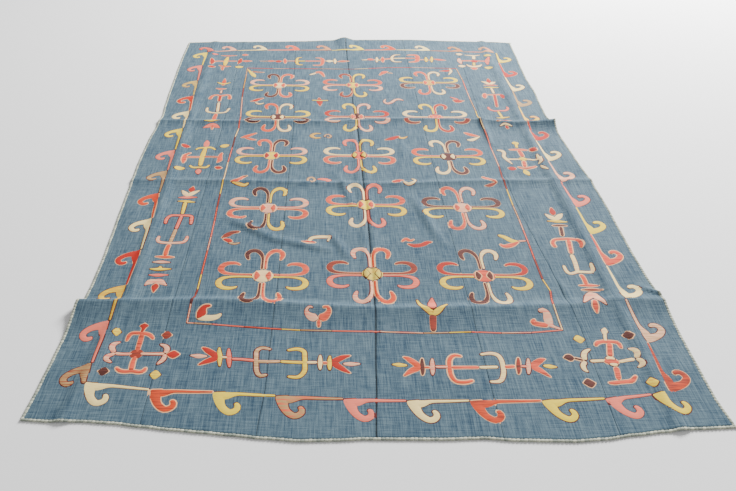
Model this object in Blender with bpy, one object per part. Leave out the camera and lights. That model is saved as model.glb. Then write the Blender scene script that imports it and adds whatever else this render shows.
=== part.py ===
"""An embroidered flat-woven rug lying on the floor: six long loom strips of plain cloth side by side,
with a run of overcasting yarn along each of the four edges. It still shows the folds it was stored in:
three across it, and a soft one down each side. Lengths are in metres. X runs to the right, Y to the
back and Z up, and the cloth rests on z = 0."""

import bpy
import bmesh
from math import cos, pi

# Cloth and overcasting
CLOTH_THICK = 0.0022
SEAM_GAP = 0.0003
OVERCAST_WIDE = 0.010
EDGE_INSET = OVERCAST_WIDE + SEAM_GAP

# The overcasting's section: distance in from the rug's edge, and height above the floor
OVERCAST_SECTION = (
    (0.0000, 0.0019),
    (0.0022, 0.0039),
    (0.0078, 0.0039),
    (0.0100, 0.0024),
    (0.0091, 0.0000),
    (0.0016, 0.0000),
)

# The outline, edge by edge. Columns: place along the edge, place of the edge
LEFT_EDGE = (
    (-1.330, -0.905), (-1.200, -0.896), (-1.100, -0.891), (-1.000, -0.886), (-0.905, -0.885),
    (-0.850, -0.873), (-0.790, -0.870), (-0.660, -0.870), (-0.530, -0.874), (-0.380, -0.880),
    (-0.220, -0.884), (-0.040, -0.891), (0.160, -0.889), (0.300, -0.880), (0.390, -0.876),
    (0.510, -0.884), (0.650, -0.890), (0.790, -0.894), (0.940, -0.899), (1.100, -0.902),
    (1.310, -0.901),
)
RIGHT_EDGE = (
    (-1.330, 0.899), (-1.220, 0.890), (-1.090, 0.893), (-1.000, 0.896), (-0.900, 0.902),
    (-0.840, 0.904), (-0.730, 0.898), (-0.600, 0.897), (-0.470, 0.900), (-0.310, 0.904),
    (-0.150, 0.902), (0.040, 0.891), (0.140, 0.887), (0.250, 0.882), (0.355, 0.884),
    (0.420, 0.872), (0.550, 0.876), (0.680, 0.884), (0.830, 0.880), (0.980, 0.886),
    (1.150, 0.896), (1.345, 0.904),
)
FRONT_EDGE = (
    (-0.910, -1.320), (-0.825, -1.325), (-0.750, -1.323), (-0.670, -1.328), (-0.596, -1.337),
    (-0.519, -1.346), (-0.444, -1.353), (-0.369, -1.360), (-0.294, -1.368), (-0.200, -1.375),
    (-0.110, -1.372), (-0.036, -1.367), (0.148, -1.366), (0.260, -1.361), (0.331, -1.366),
    (0.478, -1.367), (0.554, -1.360), (0.634, -1.346), (0.712, -1.335), (0.791, -1.325),
    (0.910, -1.318),
)
BACK_EDGE = (
    (-0.910, 1.302), (-0.730, 1.316), (-0.500, 1.324), (-0.280, 1.336), (-0.080, 1.358),
    (0.120, 1.369), (0.350, 1.3746), (0.570, 1.358), (0.800, 1.350), (0.910, 1.337),
)

# The five seams between the strips. Columns: y, x
SEAMS = (
    ((-1.350, -0.600), (0.600, -0.590), (1.340, -0.600)),
    ((-1.350, -0.306), (-1.200, -0.294), (-0.600, -0.284), (0.310, -0.277), (0.815, -0.295),
     (1.340, -0.305)),
    ((-1.365, -0.009), (-1.170, 0.002), (-0.900, 0.015), (-0.450, 0.016), (-0.130, 0.010),
     (0.220, 0.006), (0.570, -0.008), (1.340, -0.024)),
    ((-1.350, 0.306), (0.000, 0.298), (1.340, 0.300)),
    ((-1.350, 0.596), (-1.130, 0.604), (-0.970, 0.611), (-0.790, 0.601), (-0.280, 0.570),
     (0.050, 0.560), (0.700, 0.575), (1.340, 0.590)),
)

# The three folds across the rug. Each has a crest that wanders a little, and its height there.
# Crest columns: x, y of the crest, height, length of the slope in front, length of the slope behind
FRONT_FOLD = (
    (-0.910, -0.890, 0.0270, 0.170, 0.030),
    (-0.760, -0.882, 0.0200, 0.160, 0.030),
    (-0.450, -0.867, 0.0140, 0.140, 0.030),
    (0.030, -0.896, 0.0120, 0.130, 0.030),
    (0.400, -0.884, 0.0120, 0.130, 0.035),
    (0.600, -0.872, 0.0110, 0.120, 0.040),
    (0.780, -0.842, 0.0140, 0.100, 0.045),
    (0.910, -0.846, 0.0190, 0.090, 0.050),
)
MIDDLE_FOLD = (
    (-0.910, -0.170, 0.0040, 0.080, 0.030),
    (-0.528, -0.172, 0.0060, 0.080, 0.030),
    (0.038, -0.184, 0.0060, 0.080, 0.030),
    (0.555, -0.153, 0.0070, 0.090, 0.030),
    (0.910, -0.140, 0.0050, 0.080, 0.030),
)
BACK_FOLD = (
    (-0.910, 0.333, 0.0060, 0.100, 0.030),
    (-0.561, 0.328, 0.0080, 0.100, 0.030),
    (-0.114, 0.334, 0.0080, 0.100, 0.030),
    (0.202, 0.366, 0.0080, 0.110, 0.030),
    (0.527, 0.362, 0.0110, 0.120, 0.032),
    (0.732, 0.326, 0.0180, 0.130, 0.036),
    (0.910, 0.338, 0.0300, 0.150, 0.042),
)

# The soft folds down the two sides, and the puckers along the middle seam.
# Columns: y, x of the crest, height
LEFT_SIDE_FOLD = (
    (-1.330, -0.800, 0.0030), (-1.000, -0.765, 0.0050), (-0.780, -0.744, 0.0055),
    (-0.030, -0.750, 0.0050), (0.600, -0.752, 0.0040), (1.310, -0.755, 0.0030),
)
RIGHT_SIDE_FOLD = (
    (-1.330, 0.745, 0.0040), (-0.800, 0.742, 0.0070), (-0.300, 0.748, 0.0080),
    (0.200, 0.735, 0.0070), (0.700, 0.735, 0.0050), (1.340, 0.740, 0.0040),
)
SIDE_FOLD_HALF = 0.045
PUCKER = ((-1.100, 0.0), (-0.900, 0.0035), (-0.300, 0.0045), (0.250, 0.0040), (0.600, 0.0))
PUCKER_CREST, PUCKER_END = 0.013, 0.040

# How many rows of cells lie between the lines across the rug, and where the columns of cells lie.
# A column is a share of the strip's width from its left side to its right
ROWS_TO_FRONT_FOLD = 4
ROWS_ON_FRONT_SLOPE = 4
ROWS_TO_MIDDLE_FOLD = 6
ROWS_TO_BACK_FOLD = 5
ROWS_TO_BACK_EDGE = 9
COLUMNS = (
    (0.0, 0.22, 0.345, 0.49, 0.645, 0.82, 1.0),
    (0.0, 0.25, 0.5, 0.75, 1.0),
    (0.0, 0.25, 0.5, 0.72, 0.866, 0.957, 1.0),
    (0.0, 0.043, 0.134, 0.28, 0.5, 0.75, 1.0),
    (0.0, 0.25, 0.5, 0.75, 1.0),
    (0.0, 0.18, 0.34, 0.50, 0.65, 0.82, 1.0),
)

CLOTH_COLOUR = (0.165, 0.250, 0.318, 1.0)
YARN_COLOUR = (0.600, 0.640, 0.560, 1.0)


def along(table, at, column=1):
    """A column of a table at a place between its rows, eased so that the line has no corners."""
    if at <= table[0][0]:
        return table[0][column]
    for low, high in zip(table, table[1:]):
        if at <= high[0]:
            share = (at - low[0]) / (high[0] - low[0])
            eased = 0.5 - 0.5 * cos(pi * share)
            blend = 0.5 * share + 0.5 * eased
            return low[column] + (high[column] - low[column]) * blend
    return table[-1][column]


def fold_height(fold, x, y):
    """A creased crest: it falls away in front and behind, and meets the floor without a corner."""
    behind = y - along(fold, x, 1)
    reach = along(fold, x, 4) if behind > 0 else along(fold, x, 3)
    left = max(0.0, 1.0 - abs(behind) / reach)
    return along(fold, x, 2) * left ** 1.5


def side_fold_height(fold, x, y):
    """A soft fold down one side: a rounded ridge."""
    off = abs(x - along(fold, y, 1)) / SIDE_FOLD_HALF
    return along(fold, y, 2) * (0.5 + 0.5 * cos(pi * off)) if off < 1 else 0.0


def pucker_height(x, y):
    """The cloth humps on both sides of the middle seam, and the stitches hold the seam down."""
    off = abs(x - along(SEAMS[2], y))
    if off < PUCKER_CREST:
        share = off / PUCKER_CREST
    else:
        share = max(0.0, (PUCKER_END - off) / (PUCKER_END - PUCKER_CREST))
    return along(PUCKER, y) * (0.5 - 0.5 * cos(pi * share))


def floor_height(x, y):
    """How far the underside stands off the floor. Where folds cross, the higher one wins."""
    across = max(fold_height(fold, x, y) for fold in (FRONT_FOLD, MIDDLE_FOLD, BACK_FOLD))
    down = max(
        side_fold_height(LEFT_SIDE_FOLD, x, y),
        side_fold_height(RIGHT_SIDE_FOLD, x, y),
        pucker_height(x, y),
    )
    return max(across, down) + 0.35 * min(across, down)


def between(low, high, count):
    """Lines across the rug from just after one to the next, as pairs of lines and a share."""
    return [(low, high, (i + 1) / count) for i in range(count)]


def row_lines():
    """Every line across the rug, as a function of x: the edges, the folds' crests and feet."""
    front = lambda x: along(FRONT_EDGE, x) + EDGE_INSET
    back = lambda x: along(BACK_EDGE, x) - EDGE_INSET
    crest = [lambda x, f=f: along(f, x, 1) for f in (FRONT_FOLD, MIDDLE_FOLD, BACK_FOLD)]
    toe = [lambda x, f=f: along(f, x, 1) - along(f, x, 3) for f in (FRONT_FOLD, MIDDLE_FOLD, BACK_FOLD)]
    heel = [lambda x, f=f: along(f, x, 1) + along(f, x, 4) for f in (FRONT_FOLD, MIDDLE_FOLD, BACK_FOLD)]
    lines = [(front, front, 0.0)]
    lines += between(front, toe[0], ROWS_TO_FRONT_FOLD)
    lines += between(toe[0], crest[0], ROWS_ON_FRONT_SLOPE) + between(crest[0], heel[0], 2)
    lines += between(heel[0], toe[1], ROWS_TO_MIDDLE_FOLD)
    lines += between(toe[1], crest[1], 2) + between(crest[1], heel[1], 1)
    lines += between(heel[1], toe[2], ROWS_TO_BACK_FOLD)
    lines += between(toe[2], crest[2], 3) + between(crest[2], heel[2], 2)
    lines += between(heel[2], back, ROWS_TO_BACK_EDGE)
    return [lambda x, l=l: l[0](x) + (l[1](x) - l[0](x)) * l[2] for l in lines]


def column_lines():
    """For each strip, its lines down the rug as functions of y. Neighbours share their seam's line."""
    sides = [lambda y: along(LEFT_EDGE, y) + EDGE_INSET]
    sides += [lambda y, s=s: along(s, y) for s in SEAMS]
    sides += [lambda y: along(RIGHT_EDGE, y) - EDGE_INSET]
    strips = []
    for number, shares in enumerate(COLUMNS):
        low, high = sides[number], sides[number + 1]
        strips.append([lambda y, a=low, b=high, s=s: a(y) + (b(y) - a(y)) * s for s in shares])
    return strips


def crossing(row, column):
    """Where a line across the rug meets a line down it."""
    y = row(0.0)
    for _ in range(12):
        x = column(y)
        y = row(x)
    return x, y


def material(name, colour, roughness):
    made = bpy.data.materials.new(name)
    made.use_nodes = True
    made.diffuse_color = colour
    shader = made.node_tree.nodes["Principled BSDF"]
    shader.inputs["Base Color"].default_value = colour
    shader.inputs["Roughness"].default_value = roughness
    return made


def add_solid(name, rings, closed, look):
    """Skins a run of rings of points. A closed ring is a bar's section; its two ends are capped."""
    mesh = bmesh.new()
    loops = [[mesh.verts.new(point) for point in ring] for ring in rings]
    count = len(loops[0])
    for one, two in zip(loops, loops[1:]):
        for i in range(count if closed else count - 1):
            j = (i + 1) % count
            mesh.faces.new((one[i], one[j], two[j], two[i]))
    mesh.faces.new(loops[0][::-1])
    mesh.faces.new(loops[-1])
    bmesh.ops.triangulate(mesh, faces=mesh.faces[:], quad_method="SHORT_EDGE")
    bmesh.ops.recalc_face_normals(mesh, faces=mesh.faces[:])
    data = bpy.data.meshes.new(name)
    mesh.to_mesh(data)
    mesh.free()
    made = bpy.data.objects.new(name, data)
    data.materials.append(material(name, look, 0.9))
    bpy.context.scene.collection.objects.link(made)
    return made


def add_strip(name, columns, rows):
    """One loom strip: each row is a ring, along the top and back along the underside."""
    rings = []
    for row in rows:
        points = []
        for place, column in enumerate(columns):
            x, y = crossing(row, column)
            z = floor_height(x, y)
            if place == 0:
                x += SEAM_GAP / 2
            if place == len(columns) - 1:
                x -= SEAM_GAP / 2
            points.append((x, y, z))
        rings.append(points + [(x, y, z + CLOTH_THICK) for x, y, z in reversed(points)])
    add_solid(name, rings, True, CLOTH_COLOUR)


def add_overcast(name, edge_points, inward):
    """One run of overcasting, outside the cloth's edge points and standing on the floor or fold."""
    rings = []
    for x, y, z in edge_points:
        ring = []
        for across, up in OVERCAST_SECTION:
            out = EDGE_INSET - across
            ring.append((x - inward[0] * out, y - inward[1] * out, z + up))
        rings.append(ring)
    add_solid(name, rings, True, YARN_COLOUR)


for old in list(bpy.data.objects):
    bpy.data.objects.remove(old, do_unlink=True)

ROWS = row_lines()
STRIPS = column_lines()
for number, lines in enumerate(STRIPS):
    add_strip(f"strip_{number + 1}", lines, ROWS)

for name, column, inward in (
    ("overcast_left", STRIPS[0][0], (1, 0)),
    ("overcast_right", STRIPS[-1][-1], (-1, 0)),
):
    run = [crossing(row, column) for row in ROWS]
    add_overcast(name, [(x, y, floor_height(x, y)) for x, y in run], inward)

for name, row, inward in (
    ("overcast_front", ROWS[0], (0, 1)),
    ("overcast_back", ROWS[-1], (0, -1)),
):
    run = [crossing(row, column) for lines in STRIPS for column in lines]
    run = [point for place, point in enumerate(run) if place == 0 or point[0] - run[place - 1][0] > 1e-6]
    side = EDGE_INSET
    run = [(run[0][0] - side, run[0][1])] + run[1:-1] + [(run[-1][0] + side, run[-1][1])]
    add_overcast(name, [(x, y, floor_height(x, y)) for x, y in run], inward)
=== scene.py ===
"""The looks of an embroidered flat-woven rug lying on a floor: six loom strips of blue-grey wool sewn side
by side, whipped with pale yarn all round, and stitched all over with ram's-horn motifs in madder reds,
yellows, creams and browns. Metres; X to the right, Y to the back, Z up, and the rug rests on z = 0."""

import bmesh
import bpy
import numpy as np
from math import radians, tau
from mathutils import Matrix


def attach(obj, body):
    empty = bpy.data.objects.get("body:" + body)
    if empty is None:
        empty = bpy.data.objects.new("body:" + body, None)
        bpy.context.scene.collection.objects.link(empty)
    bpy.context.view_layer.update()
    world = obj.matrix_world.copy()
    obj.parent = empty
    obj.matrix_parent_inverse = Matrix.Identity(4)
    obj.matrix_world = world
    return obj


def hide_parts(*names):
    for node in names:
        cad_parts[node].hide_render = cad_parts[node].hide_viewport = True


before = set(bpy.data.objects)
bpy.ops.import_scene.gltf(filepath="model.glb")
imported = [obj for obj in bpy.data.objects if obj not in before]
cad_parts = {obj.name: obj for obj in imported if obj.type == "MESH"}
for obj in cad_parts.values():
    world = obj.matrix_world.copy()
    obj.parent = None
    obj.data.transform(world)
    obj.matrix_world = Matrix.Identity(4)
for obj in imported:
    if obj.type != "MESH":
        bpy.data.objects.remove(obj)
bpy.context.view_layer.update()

# The six strips: plain-woven wool from a narrow loom, hand-spun yarn dyed blue-grey, each strip a
# little different in tone. They lie on the floor with the creases the rug was stored in.
CLOTH_THICK = 0.0022
OFF_FLOOR = 0.0002  # taken from the thickness, so that the flat cloth stands a hair above z = 0
SEAM_GAP = 0.0003
UNDER_OVERCAST = 0.0035  # how far inside the rug's outline the cloth's own edge lies

# The outline, edge by edge. Columns: place along the edge, place of the edge
LEFT_EDGE = (
    (-1.330, -0.905), (-1.200, -0.896), (-1.100, -0.891), (-1.000, -0.886), (-0.905, -0.885),
    (-0.850, -0.873), (-0.790, -0.870), (-0.660, -0.870), (-0.530, -0.874), (-0.380, -0.880),
    (-0.220, -0.884), (-0.040, -0.891), (0.160, -0.889), (0.300, -0.880), (0.390, -0.876),
    (0.510, -0.884), (0.650, -0.890), (0.790, -0.894), (0.940, -0.899), (1.100, -0.902),
    (1.310, -0.901),
)
RIGHT_EDGE = (
    (-1.330, 0.899), (-1.220, 0.890), (-1.090, 0.893), (-1.000, 0.896), (-0.900, 0.902),
    (-0.840, 0.904), (-0.730, 0.898), (-0.600, 0.897), (-0.470, 0.900), (-0.310, 0.904),
    (-0.150, 0.902), (0.040, 0.891), (0.140, 0.887), (0.250, 0.882), (0.355, 0.884),
    (0.420, 0.872), (0.550, 0.876), (0.680, 0.884), (0.830, 0.880), (0.980, 0.886),
    (1.150, 0.896), (1.345, 0.904),
)
FRONT_EDGE = (
    (-0.910, -1.320), (-0.825, -1.325), (-0.750, -1.323), (-0.670, -1.328), (-0.596, -1.337),
    (-0.519, -1.346), (-0.444, -1.353), (-0.369, -1.360), (-0.294, -1.368), (-0.200, -1.375),
    (-0.110, -1.372), (-0.036, -1.367), (0.148, -1.366), (0.260, -1.361), (0.331, -1.366),
    (0.478, -1.367), (0.554, -1.360), (0.634, -1.346), (0.712, -1.335), (0.791, -1.325),
    (0.910, -1.318),
)
BACK_EDGE = (
    (-0.910, 1.302), (-0.730, 1.316), (-0.500, 1.324), (-0.280, 1.336), (-0.080, 1.358),
    (0.120, 1.369), (0.350, 1.3746), (0.570, 1.358), (0.800, 1.350), (0.910, 1.337),
)

# The five seams between the strips. Columns: y, x
SEAMS = (
    ((-1.350, -0.600), (0.600, -0.590), (1.340, -0.600)),
    ((-1.350, -0.306), (-1.200, -0.294), (-0.600, -0.284), (0.310, -0.277), (0.815, -0.295),
     (1.340, -0.305)),
    ((-1.365, -0.009), (-1.170, 0.002), (-0.900, 0.015), (-0.450, 0.016), (-0.130, 0.010),
     (0.220, 0.006), (0.570, -0.008), (1.340, -0.024)),
    ((-1.350, 0.306), (0.000, 0.298), (1.340, 0.300)),
    ((-1.350, 0.596), (-1.130, 0.604), (-0.970, 0.611), (-0.790, 0.601), (-0.280, 0.570),
     (0.050, 0.560), (0.700, 0.575), (1.340, 0.590)),
)
SEAM_DIPS = (0.0006, 0.0009, 0.0014, 0.0007, 0.0006)
SEAM_DIP_HALF = 0.0045
# Painted shade: the cloth's colour is darkened beside each seam, most at the middle seam, for the shade that
# falls in the gaps between the strips.
SEAM_SHADE = (0.0, 0.10, 0.30, 1.0, 0.20, 0.14, 0.0)  # how dark the cloth is beside each edge and seam

# The three creases across the rug.
# Columns: x, y of the crest, height, length of the slope in front, length of the slope behind
FRONT_FOLD = (
    (-0.910, -0.890, 0.0270, 0.170, 0.030),
    (-0.760, -0.882, 0.0200, 0.160, 0.030),
    (-0.450, -0.867, 0.0140, 0.140, 0.030),
    (0.030, -0.896, 0.0120, 0.130, 0.030),
    (0.400, -0.884, 0.0120, 0.130, 0.035),
    (0.600, -0.872, 0.0110, 0.120, 0.040),
    (0.780, -0.842, 0.0110, 0.100, 0.045),
    (0.910, -0.846, 0.0110, 0.090, 0.050),
)
MIDDLE_FOLD = (
    (-0.910, -0.170, 0.0050, 0.080, 0.030),
    (-0.528, -0.172, 0.0080, 0.080, 0.030),
    (0.038, -0.184, 0.0080, 0.080, 0.030),
    (0.555, -0.153, 0.0090, 0.090, 0.030),
    (0.910, -0.140, 0.0060, 0.080, 0.030),
)
BACK_FOLD = (
    (-0.910, 0.333, 0.0080, 0.100, 0.030),
    (-0.561, 0.328, 0.0105, 0.100, 0.030),
    (-0.114, 0.334, 0.0105, 0.100, 0.030),
    (0.202, 0.366, 0.0105, 0.110, 0.030),
    (0.527, 0.362, 0.0130, 0.120, 0.032),
    (0.732, 0.326, 0.0180, 0.130, 0.036),
    (0.910, 0.338, 0.0300, 0.150, 0.042),
)
FOLDS = (FRONT_FOLD, MIDDLE_FOLD, BACK_FOLD)
CREST_SHARP = (1.9, 3.6, 3.6)  # how fast each falls away in front of its crest
BEHIND_SHARP = 1.5  # and how fast behind it
CREST_ROUND = 0.003
CROSSING_SHARE = 0.35  # how much of the lower fold still shows where two cross

# The soft folds down the two sides, and the puckers along the middle seam.
# Columns: y, x of the crest, height
LEFT_SIDE_FOLD = (
    (-1.330, -0.800, 0.0040), (-1.000, -0.757, 0.0070), (-0.780, -0.737, 0.0080),
    (-0.030, -0.741, 0.0070), (0.600, -0.745, 0.0055), (1.310, -0.752, 0.0040),
)
RIGHT_SIDE_FOLD = (
    (-1.330, 0.755, 0.0050), (-0.800, 0.755, 0.0100), (-0.300, 0.756, 0.0115),
    (0.200, 0.742, 0.0100), (0.700, 0.742, 0.0070), (1.340, 0.745, 0.0050),
)
SIDE_FOLD_HALF = 0.034
PUCKER = ((-1.100, 0.0), (-0.900, 0.0035), (-0.300, 0.0045), (0.250, 0.0040), (0.600, 0.0))
PUCKER_CREST, PUCKER_END = 0.013, 0.040

# Wrinkles. Columns: x and y of one end, x and y of the other, height (a trough is negative), half width
WRINKLES = (
    (-0.480, -0.420, -0.292, -0.553, 0.0080, 0.032),
    (-0.310, -0.540, -0.120, -0.600, 0.0070, 0.030),
    (-0.080, -0.130, -0.035, -0.330, 0.0065, 0.024),
    (-0.118, -0.500, -0.060, -0.640, 0.0070, 0.024),
    (0.195, -0.280, 0.262, -0.560, 0.0080, 0.028),
    (0.560, 0.400, 0.566, 0.150, 0.0125, 0.021),
    (0.183, 0.200, 0.188, 0.050, 0.0040, 0.018),
    (0.605, -0.740, 0.620, -0.850, 0.0045, 0.016),
    (0.640, 0.372, 0.800, 0.330, 0.0040, 0.020),
    (0.858, -0.775, 0.925, -0.830, 0.0095, 0.016),
    (-0.032, 1.240, -0.032, 1.600, 0.0180, 0.066),
)
WRINKLE_END = 0.35  # the share of its height that a wrinkle keeps at its two ends
# The cloth never lies dead flat: broad swells. Columns: x, y, reach across, reach along, height
SWELLS = (
    (-0.68, -1.18, 0.16, 0.14, 0.0020), (-0.36, -1.20, 0.14, 0.12, 0.0014),
    (0.22, -1.17, 0.17, 0.13, 0.0018), (0.52, -1.22, 0.12, 0.12, 0.0015),
    (0.80, -1.12, 0.10, 0.16, 0.0020), (-0.45, -0.68, 0.14, 0.10, 0.0020),
    (-0.16, -0.42, 0.10, 0.16, 0.0022), (0.24, -0.60, 0.12, 0.14, 0.0018),
    (0.45, -0.42, 0.10, 0.13, 0.0018), (-0.50, -0.20, 0.10, 0.18, 0.0018),
    (-0.22, 0.02, 0.12, 0.12, 0.0020), (0.18, 0.05, 0.11, 0.12, 0.0020),
    (0.48, 0.05, 0.12, 0.16, 0.0020), (-0.40, 0.55, 0.16, 0.12, 0.0018),
    (0.10, 0.62, 0.12, 0.16, 0.0018), (0.45, 0.70, 0.12, 0.14, 0.0020),
    (-0.15, 0.98, 0.16, 0.12, 0.0018), (0.30, 1.15, 0.18, 0.12, 0.0018),
    (-0.62, 0.85, 0.12, 0.18, 0.0018), (-0.82, -0.45, 0.06, 0.16, 0.0020),
    (0.84, 0.05, 0.05, 0.18, 0.0022), (0.83, -0.55, 0.05, 0.18, 0.0020),
)

# Rows of cells between the lines across the rug, and columns across a strip, closer at its two sides
ROWS = (34, 20, 7, 62, 12, 5, 40, 15, 7, 94)
COLUMN_SHARES = np.concatenate([[0.0, 0.006, 0.014], np.linspace(0.030, 0.970, 31), [0.986, 0.994, 1.0]])

# How much of a second, darker dye each strip took, from left to right
STRIP_DARK = (0.46, 0.58, 0.50, 0.62, 0.42, 0.52)
# how the painted seam shade fades over the columns next to a seam
SEAM_FADE = {0: 1.0, 1: 0.7, 2: 0.1}  # the shade beside a seam, by column from it

# The weave's grain: streaks to the metre along X, Y and Z, and each one's share in the tone
WARP_GRAIN, WEFT_GRAIN = (300.0, 14.0, 1.0), (20.0, 240.0, 1.0)
LONG_GRAIN, CLOUDS = (120.0, 9.0, 1.0), (14.0, 8.0, 1.0)
WARP_SHARE, WEFT_SHARE, LONG_SHARE, CLOUD_SHARE = 0.40, 0.30, 0.18, 0.13
KNUCKLE_SHARE = 0.25  # of the thread crossings in the weave's height
THREAD_PITCH = 0.0026
# The dye's dark and light shades, each with the tone at which it is reached
CLOTH_SHADES = ((0.33, (46, 69, 87)), (0.60, (104, 125, 135)))
DARK_STRENGTH = 0.10
# The painted shade along the seams is broken up by streaks and scaled by its strength.
SEAM_SHADE_BREAKUP = (3.0, 45.0, 1.0)  # streaks that break up the shade along the seams
SEAM_SHADE_BREAKUP_LEAST, PAINTED_SEAM_SHADE_STRENGTH = 0.35, 0.85
SPECULAR = 0.15  # wool hardly shines


def along(table, at, column=1):
    """A column of a table at places between its rows, eased so that the line has no corners."""
    rows = np.array(table)
    low = np.clip(np.searchsorted(rows[:, 0], at, side="right") - 1, 0, len(rows) - 2)
    share = np.clip((at - rows[low, 0]) / (rows[low + 1, 0] - rows[low, 0]), 0.0, 1.0)
    blend = 0.5 * share + 0.25 - 0.25 * np.cos(np.pi * share)
    return rows[low, column] + (rows[low + 1, column] - rows[low, column]) * blend


def fold_height(fold, sharp, x, y):
    """A creased crest: it falls away in front and behind, and meets the floor without a corner."""
    behind = y - along(fold, x, 1)
    off = np.sqrt(behind ** 2 + CREST_ROUND ** 2) - CREST_ROUND
    reach = np.where(behind > 0, along(fold, x, 4), along(fold, x, 3))
    fall = np.where(behind > 0, BEHIND_SHARP, sharp)
    return along(fold, x, 2) * np.clip(1.0 - off / reach, 0.0, 1.0) ** fall


def side_fold_height(fold, x, y):
    """A soft fold down one side: a rounded ridge."""
    off = np.clip(np.abs(x - along(fold, y, 1)) / SIDE_FOLD_HALF, 0.0, 1.0)
    return along(fold, y, 2) * (0.5 + 0.5 * np.cos(np.pi * off))


def pucker_height(x, y):
    """The cloth humps on both sides of the middle seam, and the stitches hold the seam down."""
    off = np.abs(x - along(SEAMS[2], y))
    share = np.where(off < PUCKER_CREST, off / PUCKER_CREST,
                     np.clip((PUCKER_END - off) / (PUCKER_END - PUCKER_CREST), 0.0, 1.0))
    return along(PUCKER, y) * (0.5 - 0.5 * np.cos(np.pi * share))


def wrinkle_height(x, y):
    """The small wrinkles and the broad swells, added together."""
    total = np.zeros_like(x)
    for x0, y0, x1, y1, height, half in WRINKLES:
        dx, dy = x1 - x0, y1 - y0
        share = np.clip(((x - x0) * dx + (y - y0) * dy) / (dx * dx + dy * dy), 0.0, 1.0)
        off = np.clip(np.hypot(x - x0 - share * dx, y - y0 - share * dy) / half, 0.0, 1.0)
        ends = WRINKLE_END + (1.0 - WRINKLE_END) * np.sin(np.pi * share)
        total += height * (0.5 + 0.5 * np.cos(np.pi * off)) * ends
    for cx, cy, wide, long, height in SWELLS:
        off = np.clip(np.hypot((x - cx) / wide, (y - cy) / long), 0.0, 1.0)
        total += height * (0.5 + 0.5 * np.cos(np.pi * off))
    return total


def underside(x, y):
    """How far the cloth's underside stands off the floor."""
    across = np.maximum.reduce([fold_height(fold, sharp, x, y) for fold, sharp in zip(FOLDS, CREST_SHARP)])
    down = np.maximum.reduce([side_fold_height(LEFT_SIDE_FOLD, x, y),
                              side_fold_height(RIGHT_SIDE_FOLD, x, y), pucker_height(x, y)])
    folds = np.maximum(across, down) + CROSSING_SHARE * np.minimum(across, down)
    return np.maximum(folds + wrinkle_height(x, y), 0.0)


def cloth_top(x, y):
    """The height of the cloth's upper face. Beside each seam the edges turn down a little."""
    top = underside(x, y) + CLOTH_THICK
    for seam, dip in zip(SEAMS, SEAM_DIPS):
        off = np.clip(np.abs(x - along(seam, y)) / SEAM_DIP_HALF, 0.0, 1.0)
        top = top - dip * (1.0 - off) ** 2
    return top


def strip_places(number):
    """The x and y of every crossing of a strip's rows and columns."""
    sides = [lambda y: along(LEFT_EDGE, y) + UNDER_OVERCAST]
    sides += [lambda y, s=s: along(s, y) for s in SEAMS]
    sides += [lambda y: along(RIGHT_EDGE, y) - UNDER_OVERCAST]
    rows, columns = sum(ROWS) + 1, len(COLUMN_SHARES)
    share = np.tile(COLUMN_SHARES, (rows, 1))
    y = np.zeros((rows, columns))
    for _ in range(6):  # x and y each hang on the other, and settle within six rounds
        low, high = sides[number](y), sides[number + 1](y)
        low = low + (SEAM_GAP / 2 if number > 0 else 0.0)
        high = high - (SEAM_GAP / 2 if number < len(SEAMS) else 0.0)
        x = low + (high - low) * share
        lines = [along(FRONT_EDGE, x) + UNDER_OVERCAST]
        for fold in FOLDS:
            crest = along(fold, x, 1)
            lines += [crest - along(fold, x, 3), crest, crest + along(fold, x, 4)]
        lines += [along(BACK_EDGE, x) - UNDER_OVERCAST]
        row = 0
        for low_line, high_line, count in zip(lines, lines[1:], ROWS):
            for step in range(count + 1):
                y[row + step] = (low_line + (high_line - low_line) * step / count)[row + step]
            row += count
    return x, y


def look(name, roughness):
    """A material with its nodes cleared for wiring, its tree and its shader."""
    made = bpy.data.materials.new(name)
    made.use_nodes = True
    shader = made.node_tree.nodes["Principled BSDF"]
    shader.inputs["Roughness"].default_value = roughness
    shader.inputs["Specular IOR Level"].default_value = SPECULAR
    return made, made.node_tree, shader


def dye(red, green, blue):
    """A colour judged on a scale from 0 to 255, as the shader's light values."""
    return tuple(((c / 255 + 0.055) / 1.055) ** 2.4 for c in (red, green, blue)) + (1.0,)


def maths(tree, operation, first, second=None):
    """A math node on sockets or plain numbers, and its output."""
    node = tree.nodes.new("ShaderNodeMath")
    node.operation = operation
    for place, value in enumerate((first, second)):
        if isinstance(value, (int, float)):
            node.inputs[place].default_value = value
        elif value is not None:
            tree.links.new(value, node.inputs[place])
    return node.outputs[0]


def streaks(tree, place, scale, detail=2.0):
    """Noise stretched by its scales along X, Y and Z, and its output."""
    stretch = tree.nodes.new("ShaderNodeVectorMath")
    stretch.operation = "MULTIPLY"
    stretch.inputs[1].default_value = scale
    noise = tree.nodes.new("ShaderNodeTexNoise")
    noise.inputs["Scale"].default_value = 1.0
    noise.inputs["Detail"].default_value = detail
    tree.links.new(place, stretch.inputs[0])
    tree.links.new(stretch.outputs[0], noise.inputs["Vector"])
    return noise.outputs[0]


def weighted(tree, *parts):
    """The sum of some values, each times its share."""
    scaled = [maths(tree, "MULTIPLY", value, share) for value, share in parts]
    total = scaled[0]
    for value in scaled[1:]:
        total = maths(tree, "ADD", total, value)
    return total


def painted(tree, name, output="Fac"):
    """The value or colour that each point of the mesh carries under a name."""
    node = tree.nodes.new("ShaderNodeAttribute")
    node.attribute_name = name
    return node.outputs[output]


def shades(tree, tone, ends):
    """A colour between two shades, each reached at its own tone."""
    node = tree.nodes.new("ShaderNodeValToRGB")
    for element, (place, colour) in zip(node.color_ramp.elements, ends):
        element.position = place
        element.color = dye(*colour)
    tree.links.new(tone, node.inputs[0])
    return node.outputs[0]


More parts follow.
